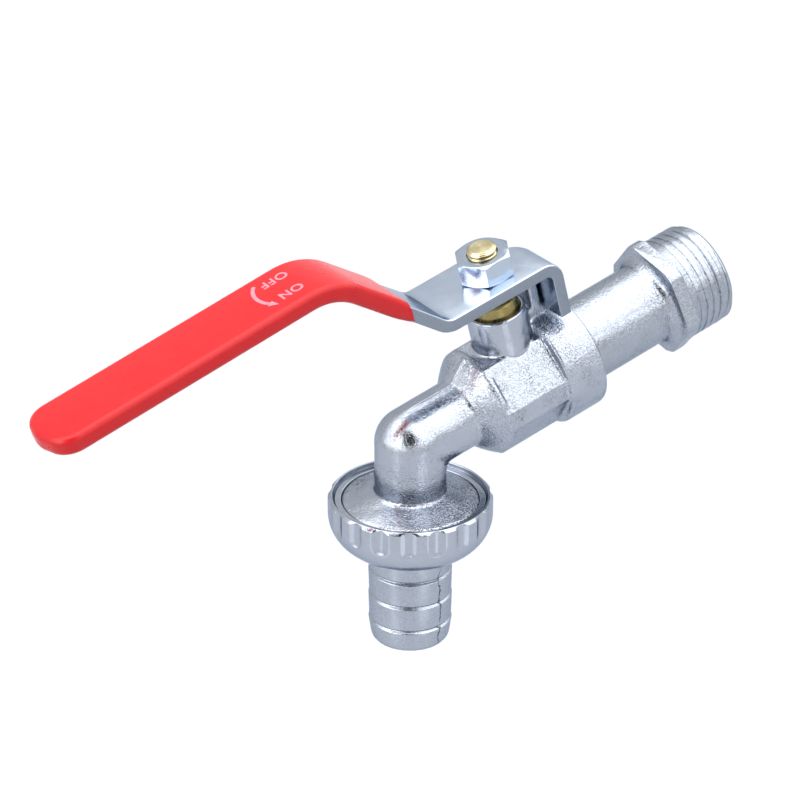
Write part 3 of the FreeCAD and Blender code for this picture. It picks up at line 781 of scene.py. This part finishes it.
def sleeve_skin(grow, half, roll, mouth):
    """One skin of the sleeve, open at the mouth, still flat."""
    work = blank(lever_outline(grow), half, roll, roll, 6)
    geometry = work.verts[:] + work.edges[:] + work.faces[:]
    bmesh.ops.bisect_plane(work, geom=geometry, dist=0.00001, plane_co=(mouth, 0, 0),
                           plane_no=(1, 0, -1), clear_inner=True)
    score(work, mouth + half + 0.1, mouth + MOUTH_TAPER, 0.8)
    for vertex in work.verts:
        thin = max(0.0, 1 - (vertex.co.x - mouth) / MOUTH_TAPER) ** 2 * grow * 0.4
        if abs(vertex.co.z) > SHEET / 2:
            vertex.co.z -= math.copysign(thin, vertex.co.z)
        if abs(vertex.co.y) > GRIP_HALF - 0.5:
            vertex.co.y -= math.copysign(thin, vertex.co.y)
    return work


mouth = length_at(SLEEVE_MOUTH_X)
sleeve_work = sleeve_skin(SLEEVE_T, SHEET / 2 + SLEEVE_T, SLEEVE_ROLL, mouth)
inner = sleeve_skin(SLEEVE_FIT, SHEET / 2 + SLEEVE_FIT, SLEEVE_ROLL - SLEEVE_T, mouth)
bmesh.ops.reverse_faces(inner, faces=inner.faces)
inner_mesh = bpy.data.meshes.new("inner_skin")
inner.to_mesh(inner_mesh)
inner.free()
sleeve_work.from_mesh(inner_mesh)
bpy.data.meshes.remove(inner_mesh)
bmesh.ops.bridge_loops(sleeve_work, edges=[e for e in sleeve_work.edges if e.is_boundary])
score_bends(sleeve_work)
bend(sleeve_work)
bmesh.ops.triangulate(sleeve_work, faces=[f for f in sleeve_work.faces if len(f.verts) > 4])
sleeve = new_piece("dipped_sleeve", sleeve_work)
# The vinyl gives a deep, even red under a soft gloss that ripples a little.
vinyl = dipped_vinyl()
finish_piece(sleeve, "handle", vinyl, ["grip_sleeve"], crease=40)


# Marks on the grip. OFF, ON and a turning arrow are pad printed in a pale ink near the top of
# the rise. They read towards the tip.

INK_HALF = 0.012
PRINT_TOP = SHEET / 2 + SLEEVE_T
LETTER_H = 2.15


def printed(name, flat_mesh, material):
    """Lays a flat mesh, x as length along the path and y across, on top of the sleeve."""
    work = bmesh.new()
    work.from_mesh(flat_mesh)
    bmesh.ops.remove_doubles(work, verts=work.verts, dist=0.001)
    low, high = (f(v.co.x for v in work.verts) for f in (min, max))
    score(work, low, high, 0.4)
    made = bmesh.ops.extrude_face_region(work, geom=work.faces[:])
    for item in made["geom"]:
        if isinstance(item, bmesh.types.BMVert):
            item.co.z += 2 * INK_HALF
    for vertex in work.verts:
        vertex.co.z += PRINT_TOP - INK_HALF
    bmesh.ops.recalc_face_normals(work, faces=work.faces)
    bend(work)
    piece = new_piece(name, work)
    finish_piece(piece, "handle", material)


def word(text, x, y):
    """A word as a flat mesh, its middle at x along the path and y across."""
    letters = bpy.data.curves.new(text, "FONT")
    letters.body = text
    letters.size = LETTER_H * 1.38
    letters.space_character = 1.1
    letters.offset = 0.065
    letters.align_x = "CENTER"
    letters.align_y = "CENTER"
    holder = bpy.data.objects.new(text, letters)
    bpy.context.scene.collection.objects.link(holder)
    depsgraph = bpy.context.evaluated_depsgraph_get()
    mesh = bpy.data.meshes.new_from_object(holder.evaluated_get(depsgraph), depsgraph=depsgraph)
    bpy.data.objects.remove(holder)
    mesh.transform(Matrix.Translation((x, y, 0)) @ Matrix.Scale(-1, 4, (0, 1, 0)))
    return mesh


def turning_arrow(cx, cy, radius, width, start, end, head):
    """Arc with a barbed end as a flat mesh."""
    work = bmesh.new()
    inside = arc(cx, cy, radius - width / 2, start, end, 24)
    outside = arc(cx, cy, radius + width / 2, start, end, 24)
    low = [work.verts.new((x, y, 0)) for x, y in inside]
    high = [work.verts.new((x, y, 0)) for x, y in outside]
    for i in range(24):
        work.faces.new((low[i], high[i], high[i + 1], low[i + 1]))
    spread = arc(cx, cy, radius - width * 1.05, start, end, 1)[1]
    reach = arc(cx, cy, radius + width * 1.05, start, end, 1)[1]
    sweep = math.copysign(math.degrees(head / radius), end - start)
    point = arc(cx, cy, radius + 0.2, start, end + sweep, 1)[1]
    corners = [work.verts.new((x, y, 0)) for x, y in (spread, reach, point)]
    work.faces.new(corners)
    bmesh.ops.recalc_face_normals(work, faces=work.faces)
    mesh = bpy.data.meshes.new("arrow")
    work.to_mesh(mesh)
    work.free()
    return mesh


def print_ink():
    """Pad print ink: pinkish white, a little worn so that some red shows through."""
    material, tree, shader, place = new_finish("pale_pad_print_ink")
    wear = add(tree, "ShaderNodeTexNoise", {"Vector": place, "Scale": 2.0, "Detail": 3.0})
    thin = add(tree, "ShaderNodeMapRange", {"Value": wear, "From Min": 0.3, "From Max": 0.65})
    shade = add(tree, "ShaderNodeMix", {
        "Factor": thin, "A": linear("BC6574"), "B": linear("C37C8A")}, data_type="RGBA")
    lay_on(tree, shader, shade, metal=False)
    shader.inputs["Roughness"].default_value = 0.4
    return material


# The ink gives a flat, milky pink, because the red shines through the thin print.
ink = print_ink()
printed("mark_off", word("OFF", length_at(-41.6), 3.0), ink)
printed("mark_on", word("ON", length_at(-41.5), -2.65), ink)
arrow = turning_arrow(length_at(-41.5), 0.1, 5.55, 0.75, 48, -31, 1.9)
printed("mark_arrow", arrow, ink)


# Handle nut. A plated M6 hexagon nut, chamfered on both sides, that clamps the lever on the
# flats of the stem.

NUT_EDGE = 0.14


def nickel(name):
    """Smooth plated nut: a clean mirror with the faintest draw marks."""
    material, tree, shader, place = new_finish(name)
    cloud = add(tree, "ShaderNodeTexNoise", {"Vector": place, "Scale": 1 / 1.4, "Detail": 3.0})
    bump = add(tree, "ShaderNodeBump", {"Height": cloud, "Strength": 0.12, "Distance": 0.0002})
    patch = add(tree, "ShaderNodeMapRange", {"Value": cloud, "To Min": 0.1, "To Max": 0.24})
    shade = add(tree, "ShaderNodeMix", {
        "Factor": cloud, "A": linear("AAB6C5"), "B": linear("BAC5D2")}, data_type="RGBA")
    lay_on(tree, shader, shade, patch, bump)
    return material


# Bright nickel over smooth steel: cool flats that mirror the lamps and the red grip.
nut = bevelled("plated_hexagon_nut", copy_in_mm("handle_nut"), NUT_EDGE)
finish_piece(nut, "handle", nickel("bright_nickel_on_nut"), ["handle_nut"],
             crease=20)


# Hose tail. A die-cast and plated tail. Its flange is held up by the union nut, three shallow
# barbs grip the hose, and a faint line shows where the die closed.

TAIL_BORE_R = 5.6
TAIL_END_H = 42.3
BARBS = 3
BARB_TOP_H = 26.7
BARB_STEP = 5.35
LATHE_STEPS = 192
SEAM_ANGLE = math.radians(-80)
# In metres: the seam's half width, how far it wavers, and how long its wavers and breaks are.
SEAM_HALF = (0.0001, 0.00028)
SEAM_WAVER = 0.0011
WAVER_LONG = 1 / 700
BREAK_LONG = 1 / 330

barb_profile = []
for k in range(BARBS):
    h = BARB_TOP_H + BARB_STEP * k
    barb_profile += [(h - 0.45, 7.98, 0.15), (h - 0.05, 7.55, 0.15), (h + 0.35, 8.1, 0.25)]
tail_profile = rounded([
    (18.62, TAIL_BORE_R, 0.2), (18.62, 11.88, 0.3), (19.98, 11.88, 0.3), (20.05, 8.15, 0.3),
    (24.0, 8.1, 2.0)] + barb_profile + [(TAIL_END_H, 7.45, 1.7), (TAIL_END_H, TAIL_BORE_R, 0.4)])
hose_tail = new_piece("barbed_hose_tail", lathe(tail_profile, LATHE_STEPS))
hose_tail.data.transform(TO_OUTLET)
# Chromed die casting: greyer and more satin than the body. Its powder-fine grain is drawn at
# 0.25 mm, and the parting line below is a thin dark thread that comes and goes.
tail_chrome = plated_casting("chrome_plated_die_casting", 0.25, 0.2, 0.3, "989FAA",
                             rough=(0.2, 0.3))
tree = tail_chrome.node_tree
shader = tree.nodes["Principled BSDF"]
across = TO_OUTLET.to_3x3() @ Vector((-math.sin(SEAM_ANGLE), math.cos(SEAM_ANGLE), 0))
place = add(tree, "ShaderNodeTexCoord").outputs["Object"]
from_axis = add(tree, "ShaderNodeVectorMath", {0: place, 1: (ELBOW_X * MM, 0, 0)},
                operation="SUBTRACT")
off = add(tree, "ShaderNodeVectorMath", {0: from_axis, 1: across}, operation="DOT_PRODUCT")
waver = add(tree, "ShaderNodeTexNoise", {"Vector": place, "Scale": 1 / WAVER_LONG, "Detail": 2.0})
waver = add(tree, "ShaderNodeMapRange", {
    "Value": waver, "To Min": -SEAM_WAVER, "To Max": SEAM_WAVER})
off = add(tree, "ShaderNodeMath", {0: off, 1: waver})
off = add(tree, "ShaderNodeMath", {0: off}, operation="ABSOLUTE")
line = add(tree, "ShaderNodeMapRange", {
    "Value": off, "From Min": SEAM_HALF[0], "From Max": SEAM_HALF[1],
    "To Min": 1.0, "To Max": 0.0}, interpolation_type="SMOOTHSTEP")
broken = add(tree, "ShaderNodeTexNoise", {"Vector": place, "Scale": 1 / BREAK_LONG})
broken = add(tree, "ShaderNodeMapRange", {"Value": broken, "From Min": 0.36, "From Max": 0.56})
line = add(tree, "ShaderNodeMath", {0: line, 1: broken}, operation="MULTIPLY")
shade = add(tree, "ShaderNodeMix", {
    "Factor": line, "A": shader.inputs["Base Color"].links[0].from_socket,
    "B": linear("555C66")}, data_type="RGBA")
ridge = add(tree, "ShaderNodeBump", {
    "Height": line, "Strength": 0.6, "Distance": 0.0001,
    "Normal": shader.inputs["Normal"].links[0].from_socket})
lay_on(tree, shader, shade, bump=ridge)
finish_piece(hose_tail, "connector", tail_chrome, ["hose_tail"], crease=50)


# Union nut. A die-cast and plated ring nut with a domed underside. Scallops round its band
# give the fingers a grip, and it draws the hose tail up against its washer.

FLUTES = 18
FLUTE_DEPTH = 0.58
FLUTE_HALF = 1.65
FLUTE_END_H = 15.6
FLUTE_SOFT = 0.45
BAND_R = 15.85
BAND_SOFT = 0.08
BAND_END_H = 14.8
BAND_TURN = math.radians(-5.6)
DOME_R = 8.1
DOME_SQUASH = 0.945


def scallop_cutter():
    """Geometry Nodes tree: presses a ring of round-ended flutes into the band of the nut."""
    tree, given = new_tree("scalloped_band", "Nut", Nut="Geometry", Count="Float",
                           Depth="Float", Half_width="Float", Band_radius="Float",
                           End_height="Float", Finish="Material")
    spot = add(tree, "GeometryNodeInputPosition")
    axes = add(tree, "ShaderNodeSeparateXYZ", {0: spot}).outputs
    flat = add(tree, "ShaderNodeVectorMath", {0: spot, 1: (1, 1, 0)}, operation="MULTIPLY")
    reach = add(tree, "ShaderNodeVectorMath", {0: flat}, operation="LENGTH")
    angle = add(tree, "ShaderNodeMath", {0: axes[1], 1: axes[0]}, operation="ARCTAN2")
    half_step = add(tree, "ShaderNodeMath", {0: math.pi, 1: given["Count"]}, operation="DIVIDE")
    off = add(tree, "ShaderNodeMath", {0: angle, 1: half_step}, operation="PINGPONG")
    across = add(tree, "ShaderNodeMath", {0: off, 1: given["Band radius"]}, operation="MULTIPLY")
    below = add(tree, "ShaderNodeMath", {0: axes[2], 1: -1.0}, operation="MULTIPLY")
    below = add(tree, "ShaderNodeMath", {0: below, 1: given["End height"]}, operation="SUBTRACT")
    below = add(tree, "ShaderNodeMath", {0: below, 1: 0.0}, operation="MAXIMUM")
    gap = add(tree, "ShaderNodeCombineXYZ", {"X": across, "Y": below})
    gap = add(tree, "ShaderNodeVectorMath", {0: gap}, operation="LENGTH")
    share = add(tree, "ShaderNodeMath", {0: gap, 1: given["Half width"]}, operation="DIVIDE")
    square = add(tree, "ShaderNodeMath", {0: share, 1: share}, operation="MULTIPLY")
    hollow = add(tree, "ShaderNodeMath", {0: 1.0, 1: square}, operation="SUBTRACT")
    hollow = add(tree, "ShaderNodeMath", {0: hollow, 1: 0.0, 2: FLUTE_SOFT},
                 operation="SMOOTH_MAX")
    hollow = add(tree, "ShaderNodeMath", {0: hollow, 1: given["Depth"]}, operation="MULTIPLY")
    skin = add(tree, "ShaderNodeMath", {0: given["Band radius"], 1: hollow}, operation="SUBTRACT")
    wanted = add(tree, "ShaderNodeMath", {0: reach, 1: skin, 2: BAND_SOFT}, operation="SMOOTH_MIN")
    share_r = add(tree, "ShaderNodeMath", {0: wanted, 1: reach}, operation="DIVIDE")
    inside = add(tree, "ShaderNodeMath", {0: given["Band radius"], 1: 1.0}, operation="SUBTRACT")
    outer = add(tree, "ShaderNodeMath", {0: reach, 1: inside}, operation="GREATER_THAN")
    moved = add(tree, "ShaderNodeVectorMath", {0: flat, "Scale": share_r}, operation="SCALE")
    height = add(tree, "ShaderNodeCombineXYZ", {"Z": axes[2]})
    moved = add(tree, "ShaderNodeVectorMath", {0: moved, 1: height}, operation="ADD")
    pressed = add(tree, "GeometryNodeSetPosition", {
        "Geometry": given["Nut"], "Selection": outer, "Position": moved})
    real = add(tree, "GeometryNodeRealizeInstances", {"Geometry": pressed})
    dressed = add(tree, "GeometryNodeSetMaterial", {"Geometry": real, "Material": given["Finish"]})
    add(tree, "NodeGroupOutput", {"Nut": dressed})
    return tree


def divided(points, longest):
    """Open run of points with no step longer than a given length."""
    out = [points[0]]
    for a, b in zip(points, points[1:]):
        pieces = max(1, math.ceil(math.dist(a, b) / longest))
        for k in range(1, pieces + 1):
            out.append((a[0] + (b[0] - a[0]) * k / pieces, a[1] + (b[1] - a[1]) * k / pieces))
    return out


dome = arc(BAND_END_H, BAND_R - DOME_R, DOME_R, 90, 14, 18)
dome = [(BAND_END_H + (h - BAND_END_H) * DOME_SQUASH, r) for h, r in dome]
nut_profile = rounded([
    (11.3, 14.85, 0.15), (11.3, 15.25, 0.2), (11.9, BAND_R, 0.3), (BAND_END_H, BAND_R, 0.0)])
nut_profile = nut_profile[:-1] + divided([(12.2, BAND_R), (BAND_END_H, BAND_R)], 0.3)
nut_profile += divided(dome[1:], 0.45) + rounded([
    (22.4, 9.3, 0.3), (22.4, 8.4, 0.2), (20.05, 8.4, 0.1), (20.05, 12.2, 0.1),
    (17.3, 12.2, 0.1), (17.3, 13.24, 0.1), (12.2, 13.24, 0.1), (12.1, 13.36, 0.08),
    (12.1, 14.6, 0.12)])
union = new_piece("scalloped_union_nut", lathe(nut_profile, FLUTES * 20))
# Chromed nut, polished before plating: smooth, with clean reflections and hardly any grain.
union_chrome = plated_casting("chrome_plated_nut", 0.35, 0.14, 0.2, "A3A9B4",
                              rough=(0.14, 0.24))
run_tree(union, scallop_cutter(), {
    "Count": float(FLUTES), "Depth": FLUTE_DEPTH, "Half width": FLUTE_HALF,
    "Band radius": BAND_R, "End height": FLUTE_END_H, "Finish": union_chrome})
union.data.transform(TO_OUTLET @ Matrix.Rotation(BAND_TURN, 4, "Z"))
finish_piece(union, "union", union_chrome, ["union_nut"], crease=60)


# Studio. A pale floor well below the tap, a tent of white cloth round it and soft lights, with
# the camera at the height and turn of the photograph.

CAMERA_PLACE = (-0.30704, -0.48462, 0.38212)
CAMERA_RIGHT = (0.80097, -0.56269, -0.20453)
CAMERA_UP = (0.46859, 0.37654, 0.79915)
CAMERA_BACK = (-0.37267, -0.73593, 0.56526)
SENSOR = 36
LENS = SENSOR * 3503.5 / 800


def soft_light(name, place, target, size, power):
    """White rectangular area light that faces its target."""
    lamp = bpy.data.lights.new(name, "AREA")
    lamp.shape = "RECTANGLE"
    lamp.size, lamp.size_y = size
    lamp.energy = power
    holder = bpy.data.objects.new(name, lamp)
    bpy.context.scene.collection.objects.link(holder)
    holder.location = place
    holder.rotation_euler = (Vector(target) - Vector(place)).to_track_quat("-Z", "Y").to_euler()


camera_data = bpy.data.cameras.new("camera")
camera_data.lens = LENS
camera_data.sensor_width = SENSOR
camera_data.clip_start = 0.01
camera = bpy.data.objects.new("camera", camera_data)
bpy.context.scene.collection.objects.link(camera)
turned = Matrix((CAMERA_RIGHT, CAMERA_UP, CAMERA_BACK)).transposed().to_4x4()
camera.matrix_world = Matrix.Translation(CAMERA_PLACE) @ turned
bpy.context.scene.camera = camera

FLOOR_Z = -0.34
FLOOR_HALF = 3
floor_corners = [(x * FLOOR_HALF, y * FLOOR_HALF, FLOOR_Z)
                 for x, y in ((-1, -1), (1, -1), (1, 1), (-1, 1))]
floor_mesh = bpy.data.meshes.new("floor")
floor_mesh.from_pydata(floor_corners, [], [(0, 1, 2, 3)])
floor = bpy.data.objects.new("floor", floor_mesh)
bpy.context.scene.collection.objects.link(floor)
# Pale grey paper: matt and even, with no pattern of its own. The lamps bring it up to white.
paper, _, paper_shader, _ = new_finish("pale_paper")
paper_shader.inputs["Base Color"].default_value = linear("AFB1B5")
paper_shader.inputs["Roughness"].default_value = 0.9
floor_mesh.materials.append(paper)

# Lamps glow through the tent's roof and near wall, its far wall stays plain, and a dark slot is
# left for the camera. TENT_GLOW gives the glow at each height.
TENT_GLOW = ((0.0, 0.85), (0.12, 1.2), (0.3, 2.9), (0.47, 2.1), (0.63, 3.0), (0.8, 3.7),
             (1.0, 3.7))
FAR_WALL = 0.88
WALL_EDGE = (0.68, 0.42)
CAMERA_SLOT = (-0.374, -0.629, 0.682)
SLOT_EDGE = (34, 26)
SLOT_GLOW = 0.01
BRIGHTEST = 4.0
room = bpy.data.worlds.new("room")
bpy.context.scene.world = room
room.use_nodes = True
room_tree = room.node_tree
ray = add(room_tree, "ShaderNodeTexCoord").outputs["Generated"]
ways = add(room_tree, "ShaderNodeSeparateXYZ", {0: ray}).outputs
roof = add(room_tree, "ShaderNodeValToRGB", {0: ways[2]})
roof.color_ramp.interpolation = "EASE"
stops = roof.color_ramp.elements
while len(stops) < len(TENT_GLOW):
    stops.new(0.5)
for stop, (height, glow) in zip(stops, TENT_GLOW):
    stop.position = height
    stop.color = [glow / BRIGHTEST] * 3 + [1]
glow = add(room_tree, "ShaderNodeMath", {0: roof, 1: BRIGHTEST}, operation="MULTIPLY")
nearness = add(room_tree, "ShaderNodeMapRange", {
    "Value": ways[1], "From Min": WALL_EDGE[0], "From Max": WALL_EDGE[1]},
    interpolation_type="SMOOTHSTEP")
wall = add(room_tree, "ShaderNodeMix", {0: nearness, 2: FAR_WALL, 3: glow}, data_type="FLOAT")
aim = add(room_tree, "ShaderNodeVectorMath", {0: ray, 1: CAMERA_SLOT}, operation="DOT_PRODUCT")
slot = add(room_tree, "ShaderNodeMapRange", {
    "Value": aim, "From Min": math.cos(math.radians(SLOT_EDGE[0])),
    "From Max": math.cos(math.radians(SLOT_EDGE[1])), "To Min": 1.0, "To Max": SLOT_GLOW})
strength = add(room_tree, "ShaderNodeMath", {0: wall, 1: slot}, operation="MULTIPLY")
room_tree.links.new(first_out(strength), room_tree.nodes["Background"].inputs["Strength"])
room_tree.nodes["Background"].inputs["Color"].default_value = linear("FFFFFF")

soft_light("left_strip", (-0.62, -0.09, -0.17), (-0.06, 0, 0), (0.16, 0.3), 0.055)
soft_light("near_strip", (-0.1, -0.52, -0.26), (-0.06, 0, 0), (0.2, 0.2), 0.063)
soft_light("left_window", (-0.86, -0.15, 0.59), (STEM_X * MM, 0, 0.027), (0.5, 0.5), 2.6)
bpy.context.scene.view_settings.view_transform = "Standard"
